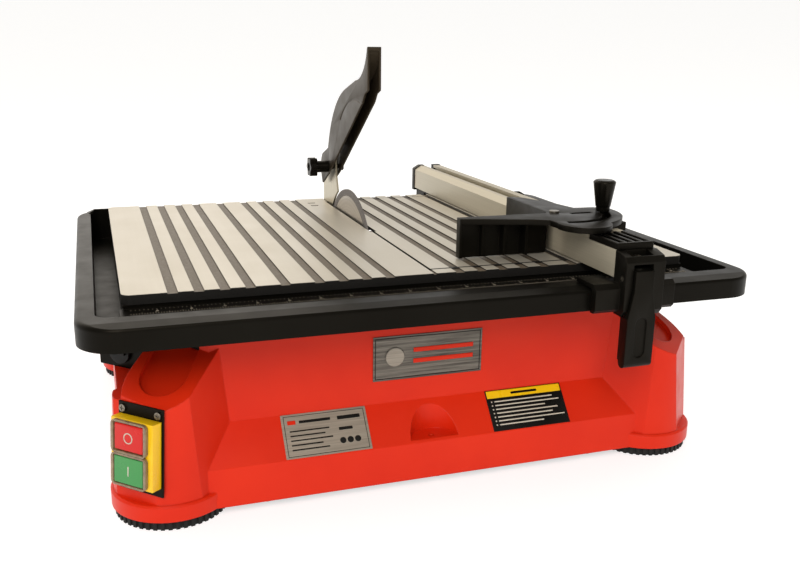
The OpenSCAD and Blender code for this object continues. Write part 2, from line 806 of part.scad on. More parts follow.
module riving_knife() color("silver") difference() {
    slab_x(-1, 1) polygon([
        [176, 156], [196, 156], [196, 178], [197.5, 184], [197, 206], [186, 217], [177, 236],
        [156, 247], [143, 243], [141, 224], [133, 205], [120, 190], [150, 170]]);
    rod_x(-3, 3, blade_y, blade_z, 94.5);
    rod_x(-3, 3, guard_y, guard_z, 3.08);
    for (p = bolt_at) rod_x(-3, 3, p[0], p[1], 2.5);
}

module knife_bracket() color("silver") difference() {
    union() {
        box([-4, 178, 156], [-1, 196, 180]);
        box([-36, 150, 177], [-1, 196, 180]);
    }
    box([-5, 140, 150], [5, 178, 200]);
    for (y = slide_slots) translate([-22.5, y, 170]) cylinder(h = 20, r = 1.9);
    for (p = bolt_at) rod_x(-8, 3, p[0], p[1], 2.5);
}

module knife_bolts() color("silver") {
    for (p = bolt_at) {
        rod_x(-7.5, 1.5, p[0], p[1], 2.5);
        translate([1, p[0], p[1]]) rotate([0, 90, 0]) cylinder(h = 3.5, r = 4.6, $fn = 6);
        translate([-7.5, p[0], p[1]]) rotate([0, 90, 0]) cylinder(h = 3.5, r = 4.6, $fn = 6);
    }
    for (y = slide_slots) {
        translate([-22.5, y, 172]) cylinder(h = 12.3, r = 1.9);
        translate([-22.5, y, 173.5]) cylinder(h = 3.5, r = 4, $fn = 6);
    }
}

// Side outline of the blade guard, raised
guard_side = concat(
    [[-3.5, 368.5], [-4, 327], [6.5, 323], [14, 314.5], [134, 235], [150, 225], [180, 209.3]],
    arc([166, 228], 21.5, -20, 50, 8),
    arc([51, 221], 107, 18, 75, 16),
    arc([40.3, 377.5], 42.5, -92, -167, 12));

// The same outline pulled in for the channel, which stays open along the underside
module guard_cavity() {
    polygon(concat(
        [[-8, 366.5], [-8, 322], [4, 318], [12, 309], [134, 229], [150, 219], [190, 200], [215, 220]],
        [[178, 262], [160, 251]],
        arc([51, 221], 104.5, 20, 75, 16),
        arc([40.3, 377.5], 45, -92, -163, 12)));
}

module blade_guard() color(black) difference() {
    slab_x(-7, 7) polygon(guard_side);
    slab_x(-5, 5) guard_cavity();
    rod_x(-10, 10, guard_y, guard_z, 3.06);
    // Shallow arc pressed into the left side
    difference() {
        rod_x(-7.6, -6.4, 38, 232, 84.5);
        rod_x(-8, -6, 38, 232, 82.5);
        box([-9, 100, 100], [-6, 200, 300]);
        box([-9, -60, 100], [-6, 200, 290]);
    }
}

module guard_knob() color("#141414") {
    difference() {
        union() {
            rod_x(-21.5, -7.3, guard_y, guard_z, 6.7);
            rod_x(-30, -21.5, guard_y, guard_z, 9);
            for (a = [0:60:300]) rod_x(-30, -21.5, guard_y + 8.3 * cos(a), guard_z + 8.3 * sin(a), 3);
        }
        rod_x(-40, -28.5, guard_y, guard_z, 5);
    }
    // Stud through the guard and the knife
    rod_x(-10, 11, guard_y, guard_z, 3);
    translate([7.3, guard_y, guard_z]) rotate([0, 90, 0]) cylinder(h = 3.5, r = 5, $fn = 6);
}

// ---------------------------------------------------------------- fence

fence_left = fence_gap;
fence_right = fence_left + fence_w;
fence_mid = fence_left + fence_w / 2;
fence_low = deck_z + 1.2;
fence_top = deck_z + fence_h;
fence_front = -238;
fence_back = 251;

pad_len = 44;
pad_base = fence_top - 5.5;

module fence_rail() color("#b5ada0") difference() {
    slab_y(fence_front, fence_back) difference() {
        polygon([[fence_left, fence_low], [fence_left, fence_top - 5], [fence_left + 8, fence_top],
                 [fence_right, fence_top], [fence_right, fence_low]]);
        // Hollow core
        polygon([[fence_left + 2, fence_low + 2], [fence_left + 2, fence_top - 10],
                 [fence_right - 2, fence_top - 10], [fence_right - 2, fence_low + 2]]);
        // T-slot in the top
        translate([fence_left + 13, fence_top - 3]) square([13, 4]);
        translate([fence_left + 10, fence_top - 8]) square([19, 5.02]);
    }
    // Seat of the ribbed pad at the front end
    box([fence_left - 1, fence_front - 1, pad_base],
        [fence_right + 1, fence_front + pad_len, fence_top + 1]);
}

jaw_low = 159.5;
jaw_top = 184;
rim_front = tray_y0;
lever_y = -250;
lever_z = 189;
lever_mid = fence_mid - 1.2;
lever_low_w = 13.3;
housing_right = fence_right + 2;
rod_z = fence_low + 16.2;

// Two cheeks with sloping tops, and the plate behind them
module end_cheeks() {
    slab_x(fence_left, housing_right) polygon([
        [fence_front, 157], [fence_front, fence_top - 5.6], [fence_front - 4, fence_top - 5.6],
        [fence_front - 15, fence_top - 8.6], [fence_front - 18, fence_top - 13],
        [fence_front - 18, 162], [fence_front - 14, 157]]);
}

module fence_end_housing() color(black) difference() {
    union() {
        end_cheeks();
        // Plug into the rail's hollow core
        box([fence_left + 2.5, fence_front - 1, fence_low + 2.5],
            [fence_right - 2.5, fence_front + 20, fence_top - 10.5]);
        // Jaws that hook over the tray's rim, left and right
        for (x = [[fence_left - 22.5, fence_left + eps], [housing_right - eps, fence_right + 18.5]])
            slab_x(x[0], x[1]) polygon([
                [rim_front - 8, jaw_low + 3], [rim_front - 8, jaw_top - 4], [rim_front - 4, jaw_top],
                [rim_front + 24, jaw_top], [rim_front + 24, jaw_low], [rim_front - 5, jaw_low]]);
    }
    // Clear of the rim behind the jaws
    box([fence_left - 40, rim_front - 0.5, 140], [fence_right + 40, fence_front + 40, 180.1]);
    // Slot for the lever between the cheeks, widening downwards
    slab_y(fence_front - 30, fence_front - 3) polygon([
        [lever_mid - 9.3, 201], [lever_mid + 9.3, 201], [lever_mid + 9.3, 182],
        [lever_mid + lever_low_w + 1, 152], [lever_mid - lever_low_w - 1, 152], [lever_mid - 9.3, 182]]);
    // Recess in the top, which shows the end of the draw rod
    box([lever_mid - 10, fence_front - 14, 203], [lever_mid + 11, fence_front - 2, fence_top]);
    rod_x(fence_left - 5, housing_right + 5, lever_y, lever_z, 2.5);
    rod_y(fence_front - 12, fence_front + 40, fence_mid, rod_z, 2.6);
    rod_y(fence_front - 14, fence_front - 5.8, fence_mid, rod_z, 3.5);
}

// Ribbed pad sunk into the rail's front end
module fence_top_pad() color(black) {
    x0 = fence_left + 0.4;
    y1 = fence_front + pad_len - 0.3;
    box([x0, fence_front - 2, pad_base + 0.02], [fence_right, y1, pad_base + 3]);
    for (i = [0:4]) box([x0 + i * 7.9, fence_front - 2, pad_base + 2.9],
                        [x0 + i * 7.9 + 3, y1, pad_base + 5.8]);
    box([x0, fence_front - 2, pad_base + 2.9], [fence_right, fence_front + 1.5, pad_base + 5.8]);
    // Key down into the T-slot
    box([fence_left + 10.5, fence_front + 1, pad_base - 2], [fence_left + 28.5, fence_front + 40,
                                                             pad_base + 0.1]);
}

module draw_rod() color("silver") {
    rod_y(fence_front - 7, fence_back + 4, fence_mid, rod_z, 2.5);
    rod_y(fence_front - 9, fence_front - 6, fence_mid, rod_z, 3.3);
}

module fence_hook() color(black) difference() {
    union() {
        slab_y(fence_back, fence_back + 8) difference() {
            polygon([
                [fence_left - 0.8, 184.1], [fence_left - 0.8, fence_top - 4],
                [fence_left + 7, fence_top + 0.5], [fence_right + 0.8, fence_top + 0.5],
                [fence_right + 0.8, 184.1]]);
            translate([fence_left + 13, fence_top - 8]) square([13, 10]);
        }
        box([fence_left + 2.5, fence_back - 20, fence_low + 2.5],
            [fence_right - 2.5, fence_back + 1, fence_top - 10.5]);
        // Jaw behind the rear rim
        slab_x(fence_left + 3, fence_right - 3) polygon([
            [223.6, 162], [223.6, 184.1], [212, 184.1], [212, 185], [fence_back - 20, fence_low - 0.1],
            [fence_back + 1, fence_low - 0.1], [fence_back + 1, 162]]);
    }
    rod_y(fence_back - 30, fence_back + 4, fence_mid, rod_z, 2.5);
}

module lever_pin() color("silver") rod_x(fence_left + 0.5, housing_right - 0.5, lever_y, lever_z, 2.5);

module clamp_lever() color(black) difference() {
    union() {
        // Cam round the pin
        rod_x(lever_mid - 8.8, lever_mid + 8.8, lever_y, lever_z, 8);
        slab_y(lever_y - 9, lever_y - 2) polygon([
            [lever_mid - 8.8, lever_z + 7], [lever_mid + 8.8, lever_z + 7], [lever_mid + 8.8, 179],
            [lever_mid + lever_low_w, 155], [lever_mid + lever_low_w, 116],
            [lever_mid - lever_low_w, 116], [lever_mid - lever_low_w, 155], [lever_mid - 8.8, 179]]);
        // Side walls and the rolled lip
        for (s = [-1, 1]) box([lever_mid + s * (lever_low_w - 1.5) - 1.5, lever_y - 9, 118],
                              [lever_mid + s * (lever_low_w - 1.5) + 1.5, lever_y + 2, 156]);
        rod_x(lever_mid - lever_low_w, lever_mid + lever_low_w, lever_y - 4.3, 117, 4.7);
    }
    rod_x(lever_mid - 20, lever_mid + 20, lever_y, lever_z, 2.56);
    // Oval thumb recess
    for (z = [127, 151]) rod_y(lever_y - 12, lever_y - 7.6, lever_mid, z, 5.5);
    box([lever_mid - 5.5, lever_y - 12, 127], [lever_mid + 5.5, lever_y - 7.6, 151]);
}

// ---------------------------------------------------------------- mitre guide

mitre_x = fence_left - 1.4;
mitre_y = -133;
saddle_top = fence_top + 1.6;
guide_low = fence_top + 1.9;
guide_top = fence_top + 7;
knob_dx = 47.5;
knob_dy = -6.5;

// Frame with its origin on the swivel's axis
module mitre_frame() {
    translate([mitre_x, mitre_y, 0]) children();
}

module mitre_slide() color(black) difference() {
    union() {
        // Thin saddle over the rail, with a skirt down its right side
        mitre_frame() box([1.4, -34, fence_top + 0.3], [56, 22, saddle_top]);
        mitre_frame() box([fence_w + 2, -34, fence_top - 14], [56, 22, saddle_top]);
        box([fence_left + 13.4, mitre_y - 30, fence_top - 2.9], [fence_left + 25.6, mitre_y + 20,
                                                                 fence_top + 0.5]);
        box([fence_left + 10.4, mitre_y - 30, fence_top - 7.6], [fence_left + 28.6, mitre_y + 20,
                                                                 fence_top - 3.4]);
        box([fence_left + 13.4, mitre_y - 30, fence_top - 4], [fence_left + 25.6, mitre_y + 20,
                                                               fence_top - 2]);
        // Nose that carries the pivot
        mitre_frame() translate([0, 0, fence_top + 0.3]) cylinder(h = saddle_top - fence_top - 0.3, r = 8);
    }
    mitre_frame() translate([knob_dx, knob_dy, 190]) cylinder(h = 40, r = 3.05);
    mitre_frame() translate([0, 0, 190]) cylinder(h = 40, r = 2);
}

module mitre_pivot() color("silver") mitre_frame() {
    translate([0, 0, fence_top + 0.3]) cylinder(h = guide_top - fence_top - 0.3, r = 2);
    translate([0, 0, guide_top + 0.1]) cylinder(h = 1.6, r = 4.5);
}

// Plan of the guide's top plate about the swivel's axis
module guide_plan() {
    difference() {
        union() {
            polygon([[-98, -9], [-98, -1], [-9, -1], [-6, 5], [-6, 89], [0, 89], [9, 80],
                     [24, 45], [30, 17], [50, 15], [20, -40], [-20, -60], [-22, -34], [-34, -27]]);
            intersection() {
                circle(r = 62, $fn = 128);
                polygon([[0, 0], [70, 15], [70, -80], [-18, -80], [-22, -30]]);
            }
            translate([2, -52]) circle(r = 24);
            translate([44, -2]) circle(r = 18);
        }
        // Arc slot for the knob's stud
        difference() {
            circle(r = 51.3, $fn = 128);
            circle(r = 43.7, $fn = 128);
            polygon([[0, 0], [80, 0], [80, 80], [-80, 80], [-80, -80], [-20, -80]]);
        }
        translate([knob_dx, knob_dy]) circle(r = 3.8);
        translate([47.5 * cos(-98), 47.5 * sin(-98)]) circle(r = 3.8);
        // Window over the angle pointer
        polygon([[12, -12], [34, -12], [34, -6], [12, -6]]);
        circle(r = 2.06);
    }
}

module mitre_guide() color(black) {
    mitre_frame() translate([0, 0, guide_low]) linear_extrude(height = guide_top - guide_low) guide_plan();
    // Work faces down to the deck: one along X, one along the fence
    mitre_frame() difference() {
        union() {
            box([-98, -6, deck_z + 1], [-6, -1, guide_low + 0.1]);
            box([-6, -6, deck_z + 1], [-1, 89, guide_low + 0.1]);
            box([-98, -9, deck_z + 1], [-95, -1, guide_low + 0.1]);
            for (x = [-78, -58, -38]) box([x, -9 - (x + 98) * 0.16, deck_z + 3],
                                          [x + 2.5, -5, guide_low + 0.1]);
        }
        // Clear of the slide's nose and of the rail, at every angle
        translate([0, 0, deck_z]) cylinder(h = guide_low - deck_z + 0.2, r = 12);
    }
}

module angle_pointer() color("#d8cfbe") mitre_frame()
    box([10, -15, saddle_top], [36, -4, saddle_top + 0.15]);

module mitre_knob() color("#141414") mitre_frame() translate([knob_dx, knob_dy, 0]) {
    translate([0, 0, 205]) cylinder(h = 20, r = 3);
    translate([0, 0, guide_top + 0.4]) cylinder(h = 5, r = 6.5);
    translate([0, 0, guide_top + 5]) cylinder(h = 23, r1 = 7, r2 = 10.5);
    translate([0, 0, guide_top + 28]) cylinder(h = 1.6, r1 = 10.5, r2 = 8.5);
}

// ---------------------------------------------------------------- parts

base_housing();
bottom_cover();
cover_screws();
foot_front_left();
foot_front_right();
foot_back_left();
foot_back_right();
foot_screws();
front_badge();
rating_plate();
notice_plate();
cable_gland();
switch_plate();
switch_screws();
switch_housing();
switch_unit();
button_covers();
stop_button();
start_button();
tray();
water_reservoir();
drain_plug();
shaft_seal();
deck();
access_panel();
panel_screws();
motor_housing();
motor_end_bell();
motor_bolts();
motor_stator();
motor_rotor();
motor_shaft();
motor_fan();
front_bearing();
rear_bearing();
run_capacitor();
capacitor_clip();
blade();
inner_flange();
outer_flange();
arbor_nut();
riving_knife();
knife_bracket();
knife_bolts();
blade_guard();
guard_knob();
fence_rail();
fence_end_housing();
fence_top_pad();
draw_rod();
fence_hook();
lever_pin();
clamp_lever();
mitre_slide();
mitre_pivot();
mitre_guide();
angle_pointer();
mitre_knob();
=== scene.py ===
"""The looks of a tabletop wet tile saw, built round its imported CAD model. Metres."""

import json
import math

import bmesh
import bpy
from mathutils import Matrix, Quaternion, Vector


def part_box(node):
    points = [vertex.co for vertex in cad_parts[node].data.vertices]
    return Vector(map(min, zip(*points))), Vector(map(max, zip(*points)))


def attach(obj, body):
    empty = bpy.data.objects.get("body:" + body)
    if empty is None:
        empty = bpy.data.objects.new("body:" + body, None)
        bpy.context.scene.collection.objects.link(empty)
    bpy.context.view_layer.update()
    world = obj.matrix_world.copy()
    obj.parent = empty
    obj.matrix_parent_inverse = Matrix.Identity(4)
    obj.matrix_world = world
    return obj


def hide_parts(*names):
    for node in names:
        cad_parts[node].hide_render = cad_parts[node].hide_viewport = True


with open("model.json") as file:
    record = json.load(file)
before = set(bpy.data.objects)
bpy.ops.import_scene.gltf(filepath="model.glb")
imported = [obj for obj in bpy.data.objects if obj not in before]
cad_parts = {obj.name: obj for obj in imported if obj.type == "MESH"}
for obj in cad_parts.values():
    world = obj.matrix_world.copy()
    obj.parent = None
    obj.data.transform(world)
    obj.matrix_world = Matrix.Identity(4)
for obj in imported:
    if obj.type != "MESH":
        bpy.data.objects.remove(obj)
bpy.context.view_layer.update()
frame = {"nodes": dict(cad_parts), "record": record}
BODIES = {node: body for body, nodes in frame["record"]["behaviour"]["bodies"].items() for node in nodes}
SLOTS = {row["node"]: row["material_slot"] for row in frame["record"]["subparts"]}
MM = 0.001
WORLD_STRENGTH = 0.8
FLOOR_GLOW = 0.62
# Depths below the deck's top, metres: the strips are bare above the first, and the floors of the grooves
# lie above the second
STRIP_DEPTH, GROOVE_DEPTH = 0.0003, 0.0014
# Radius at which the blade's diamond rim starts, metres
RIM_START = 0.0828
# Width of the rounding on the edges of the mouldings, millimetres
SOFTENED = {"switch_housing": 1.2, "stop_button": 2.2, "start_button": 2.2, "clamp_lever": 0.8,
            "fence_end_housing": 0.9, "mitre_guide": 0.8, "fence_top_pad": 0.5, "mitre_knob": 0.8,
            "button_covers": 0.9, "blade_guard": 0.5}


# ---------------------------------------------------------------- camera, light and floor

def make_camera():
    """The three-quarter view from the front left, a little above the deck."""
    heading, tilt, roll = math.radians(19.172), math.radians(-15.686), math.radians(0.901)
    level = math.cos(tilt)
    forward = Vector((math.sin(heading) * level, math.cos(heading) * level, math.sin(tilt)))
    data = bpy.data.cameras.new("camera")
    data.lens, data.sensor_width, data.clip_end = 39.92, 36.0, 50.0
    cam = bpy.data.objects.new("camera", data)
    cam.location = (-0.2662, -0.8558, 0.3725)
    cam.rotation_mode = "QUATERNION"
    cam.rotation_quaternion = forward.to_track_quat("-Z", "Y") @ Quaternion((0, 0, 1), roll)
    bpy.context.collection.objects.link(cam)
    bpy.context.scene.camera = cam


def area_light(name, place, target, size, power, colour):
    """A square softbox at a place, facing a target."""
    data = bpy.data.lights.new(name, "AREA")
    data.shape, data.size, data.energy, data.color = "SQUARE", size, power, colour
    lamp = bpy.data.objects.new(name, data)
    lamp.location = place
    lamp.rotation_mode = "QUATERNION"
    lamp.rotation_quaternion = (Vector(target) - Vector(place)).to_track_quat("-Z", "Y")
    bpy.context.collection.objects.link(lamp)


def make_light():
    """Soft light: a sky that is brightest towards the back, a key from the left and a large top light."""
    world = bpy.data.worlds.new("studio")
    world.use_nodes = True
    tree = world.node_tree
    coords = tree.nodes.new("ShaderNodeTexCoord")
    split = tree.nodes.new("ShaderNodeSeparateXYZ")
    ramp = tree.nodes.new("ShaderNodeValToRGB")
    half = tree.nodes.new("ShaderNodeMath")
    half.operation = "MULTIPLY_ADD"
    half.inputs[1].default_value = half.inputs[2].default_value = 0.5
    tree.links.new(coords.outputs["Generated"], split.inputs["Vector"])
    tree.links.new(split.outputs["Y"], half.inputs[0])
    tree.links.new(half.outputs["Value"], ramp.inputs["Fac"])
    tree.links.new(ramp.outputs["Color"], tree.nodes["Background"].inputs["Color"])
    ramp.color_ramp.elements[0].color = (0.36, 0.34, 0.31, 1)
    ramp.color_ramp.elements[1].color = (1.04, 0.97, 0.86, 1)
    ramp.color_ramp.elements[0].position, ramp.color_ramp.elements[1].position = 0.1, 0.75
    tree.nodes["Background"].inputs["Strength"].default_value = WORLD_STRENGTH
    bpy.context.scene.world = world
    bpy.context.scene.view_settings.view_transform = "Standard"
    saw = (0, 0, 0.15)
    area_light("key", (-0.8, -2.0, 1.55), saw, 1.2, 38, (1, 0.95, 0.88))
    area_light("back_top", (-0.6, 1.9, 1.5), saw, 2.6, 15, (1, 0.88, 0.72))


def make_floor():
    """A pale floor that curves up behind the saw."""
    front, bend, reach, steps, radius, half_width = -8, 4, 7.6, 12, 8, 14
    rows = [front, bend] + [bend + reach * i / steps for i in range(1, steps + 1)]
    heights = [radius * (1 - math.sqrt(1 - (max(0.0, y - bend) / radius) ** 2)) for y in rows]
    mesh = bpy.data.meshes.new("floor")
    verts = [(x, y, z) for y, z in zip(rows, heights) for x in (-half_width, half_width)]
    faces = [(2 * i, 2 * i + 1, 2 * i + 3, 2 * i + 2) for i in range(len(rows) - 1)]
    mesh.from_pydata(verts, [], faces)
    floor = bpy.data.objects.new("floor", mesh)
    bpy.context.collection.objects.link(floor)
    for face in mesh.polygons:
        face.use_smooth = True
    mat = bpy.data.materials.new("floor")
    mat.use_nodes = True
    shader = mat.node_tree.nodes["Principled BSDF"]
    shader.inputs["Base Color"].default_value = (0.62, 0.64, 0.67, 1)
    shader.inputs["Roughness"].default_value = 0.9
    shader.inputs["Emission Color"].default_value = (1, 1, 1, 1)
    shader.inputs["Emission Strength"].default_value = FLOOR_GLOW
    mesh.materials.append(mat)


# ---------------------------------------------------------------- materials

class Nodes:
    """A short way to write a material's nodes."""

    def __init__(self, name):
        self.mat = bpy.data.materials.new(name)
        self.mat.use_nodes = True
        self.tree = self.mat.node_tree
        self.shader = self.tree.nodes["Principled BSDF"]
        place = self.tree.nodes.new("ShaderNodeTexCoord")
        self.coords, self.normal = place.outputs["Object"], place.outputs["Normal"]

    def link(self, a, b):
        self.tree.links.new(a, b)

    def put(self, **values):
        """Sets the shader's own sockets: base_color=..., roughness=..., and so on."""
        for key, value in values.items():
            socket = self.shader.inputs[key.replace("_", " ").title().replace("Ior", "IOR")]
            socket.default_value = (*value, 1) if isinstance(value, tuple) and len(value) == 3 else value
        return self

    def scaled(self, scale):
        """Object coordinates stretched by a factor on each axis."""
        node = self.tree.nodes.new("ShaderNodeMapping")
        node.inputs["Scale"].default_value = scale
        self.link(self.coords, node.inputs["Vector"])
        return node.outputs["Vector"]

    def noise(self, scale, detail=3.0, stretch=None, roughness=0.5):
        node = self.tree.nodes.new("ShaderNodeTexNoise")
        node.inputs["Scale"].default_value = scale
        node.inputs["Detail"].default_value = detail
        node.inputs["Roughness"].default_value = roughness
        self.link(self.scaled(stretch) if stretch else self.coords, node.inputs["Vector"])
        return node.outputs["Fac"]

    def ramp(self, value, stops):
        """Maps a value through colour stops of (position, colour or grey)."""
        node = self.tree.nodes.new("ShaderNodeValToRGB")
        while len(node.color_ramp.elements) < len(stops):
            node.color_ramp.elements.new(0.5)
        for element, (place, colour) in zip(node.color_ramp.elements, stops):
            element.position = place
            rgb = colour if isinstance(colour, tuple) else (colour,) * 3
            element.color = (*rgb, 1)
        self.link(value, node.inputs["Fac"])
        return node.outputs["Color"]

    def mix(self, factor, a, b):
        """Mixes two colours, each a tuple or an output."""
        node = self.tree.nodes.new("ShaderNodeMix")
        node.data_type = "RGBA"
        self.link(factor, node.inputs["Factor"])
        for socket, value in ((node.inputs["A"], a), (node.inputs["B"], b)):
            self._feed(node, socket.name, value)
        return node.outputs["Result"]

    def _feed(self, node, name, value):
        socket = [s for s in node.inputs if s.name == name and s.type == "RGBA"][0]
        if isinstance(value, tuple):
            socket.default_value = (*value, 1)
        else:
            self.link(value, socket)

    def math(self, kind, a, b=0.5, clamp=False):
        node = self.tree.nodes.new("ShaderNodeMath")
        node.operation, node.use_clamp = kind, clamp
        for socket, value in ((node.inputs[0], a), (node.inputs[1], b)):
            if isinstance(value, (int, float)):
                socket.default_value = value
            else:
                self.link(value, socket)
        return node.outputs["Value"]

    def axis(self, name):
        """The object coordinate along X, Y or Z."""
        node = self.tree.nodes.new("ShaderNodeSeparateXYZ")
        self.link(self.coords, node.inputs["Vector"])
        return node.outputs[name]

    def bump(self, height, strength, distance, edge=0.0004):
        """A fine relief over edges that are rounded off at a radius."""
        node = self.tree.nodes.new("ShaderNodeBump")
        corner = self.tree.nodes.new("ShaderNodeBevel")
        corner.samples = 4
        corner.inputs["Radius"].default_value = edge
        self.link(corner.outputs["Normal"], node.inputs["Normal"])
        node.inputs["Strength"].default_value = strength
        node.inputs["Distance"].default_value = distance
        self.link(height, node.inputs["Height"])
        self.link(node.outputs["Normal"], self.shader.inputs["Normal"])
        return self

    def colour(self, output):
        self.link(output, self.shader.inputs["Base Color"])
        return self

    def rough(self, output):
        self.link(output, self.shader.inputs["Roughness"])
        return self


def plastic(name, dark, light, rough_low, rough_high, grain, depth, coat=0.0, specular=0.3, edge=0.0009,
            tint=(1.0, 1.0, 1.0)):
    """Moulded plastic: faint colour drift, uneven gloss, a fine moulded grain and rounded edges."""
    m = Nodes(name)
    m.colour(m.ramp(m.noise(14, 4), [(0.3, dark), (0.7, light)]))
    m.rough(m.ramp(m.noise(60, 5), [(0.3, rough_low), (0.75, rough_high)]))
    m.bump(m.noise(grain, 2), 0.25, depth, edge)
    m.put(coat_weight=coat, coat_roughness=0.12, specular_ior_level=specular, specular_tint=tint)
    return m.mat


def brushed(name, dark, light, rough_low, rough_high, stretch, metallic=1.0):
    """Metal with drift in colour, gloss and height, drawn out into streaks by an uneven stretch."""
    m = Nodes(name)
    streaks = m.noise(1.0, 6, stretch, 0.7)
    m.colour(m.ramp(streaks, [(0.3, dark), (0.7, light)]))
    m.rough(m.ramp(m.noise(1.0, 4, stretch), [(0.25, rough_low), (0.75, rough_high)]))
    m.bump(streaks, 0.12, 0.00005)
    m.put(metallic=metallic)
    return m.mat


def deck_material():
    """A coated plate: bare cream-grey strips, brown-grey groove floors and black edges. The grooves'
    sideways walls also get the black, as painted shade.
    """
    m = Nodes("deck_coating")
    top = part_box("deck")[1][2]
    bare = m.math("GREATER_THAN", m.axis("Z"), top - STRIP_DEPTH)
    sides = m.tree.nodes.new("ShaderNodeSeparateXYZ")
    m.link(m.normal, sides.inputs["Vector"])
    # Only faces of the grooves that face up count as floor; the walls, facing sideways, keep the black as
    # painted shade for the shadow inside each groove
    floor = m.math("MULTIPLY", m.math("GREATER_THAN", m.axis("Z"), top - GROOVE_DEPTH),
                   m.math("GREATER_THAN", sides.outputs["Z"], 0.5))
    streaks = m.noise(1.0, 3, (160, 5, 160), 0.6)
    metal = m.ramp(streaks, [(0.2, (0.54, 0.505, 0.435)), (0.8, (0.57, 0.535, 0.465))])
    # The black is the coating's own colour on the edges, and painted shade on the groove walls
    coat = m.ramp(m.noise(900, 4), [(0.3, (0.006, 0.006, 0.006)), (0.7, (0.012, 0.011, 0.010))])
    tread = m.ramp(m.noise(900, 4), [(0.3, (0.10, 0.080, 0.058)), (0.7, (0.14, 0.112, 0.082))])
    m.colour(m.mix(bare, m.mix(floor, coat, tread), metal))
    shine = m.ramp(m.noise(24, 3), [(0.3, 0.34), (0.7, 0.42)])
    matt = m.ramp(m.noise(500, 2), [(0.3, 0.42), (0.7, 0.55)])
    m.rough(m.mix(bare, matt, shine))
    m.link(m.math("MULTIPLY", bare, 0.45), m.shader.inputs["Metallic"])
    m.put(specular_ior_level=0.3)
    m.bump(m.noise(1500, 2), 0.12, 0.00003)
    return m.mat


def clear_material():
    """Smoky clear plastic of the button frames, drawn as a warm dark gloss."""
    m = Nodes("clear_frame")
    m.colour(m.ramp(m.noise(160, 3), [(0.3, (0.20, 0.13, 0.07)), (0.7, (0.34, 0.25, 0.15))]))
    m.rough(m.ramp(m.noise(90, 3), [(0.3, 0.08), (0.7, 0.16)]))
    m.put(coat_weight=0.6, coat_roughness=0.05, alpha=0.8)
    m.bump(m.noise(300, 2), 0.15, 0.00004, 0.0012)
    return m.mat


def blade_material():
    """A ground steel core with a grey diamond-grit rim."""
    m = Nodes("blade_steel")
    low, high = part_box("blade")
    centre = (low + high) / 2
    dy = m.math("SUBTRACT", m.axis("Y"), centre[1])
    dz = m.math("SUBTRACT", m.axis("Z"), centre[2])
    radius = m.math("SQRT", m.math("ADD", m.math("MULTIPLY", dy, dy), m.math("MULTIPLY", dz, dz)))
    rim = m.math("GREATER_THAN", radius, RIM_START)
    rings = m.noise(1.0, 5)
    rings.node.noise_dimensions = "1D"
    m.link(m.math("MULTIPLY", radius, 900.0), rings.node.inputs["W"])
    core = m.ramp(rings, [(0.3, (0.36, 0.33, 0.29)), (0.7, (0.48, 0.44, 0.39))])
    grit = m.ramp(m.noise(2500, 3), [(0.35, (0.16, 0.15, 0.15)), (0.7, (0.34, 0.32, 0.31))])
    m.colour(m.mix(rim, core, grit))
    m.rough(m.mix(rim, (0.34, 0.34, 0.34), (0.7, 0.7, 0.7)))
    m.put(metallic=0.9)
    m.bump(m.math("MULTIPLY", rim, m.noise(2500, 3)), 0.5, 0.0002)
    return m.mat


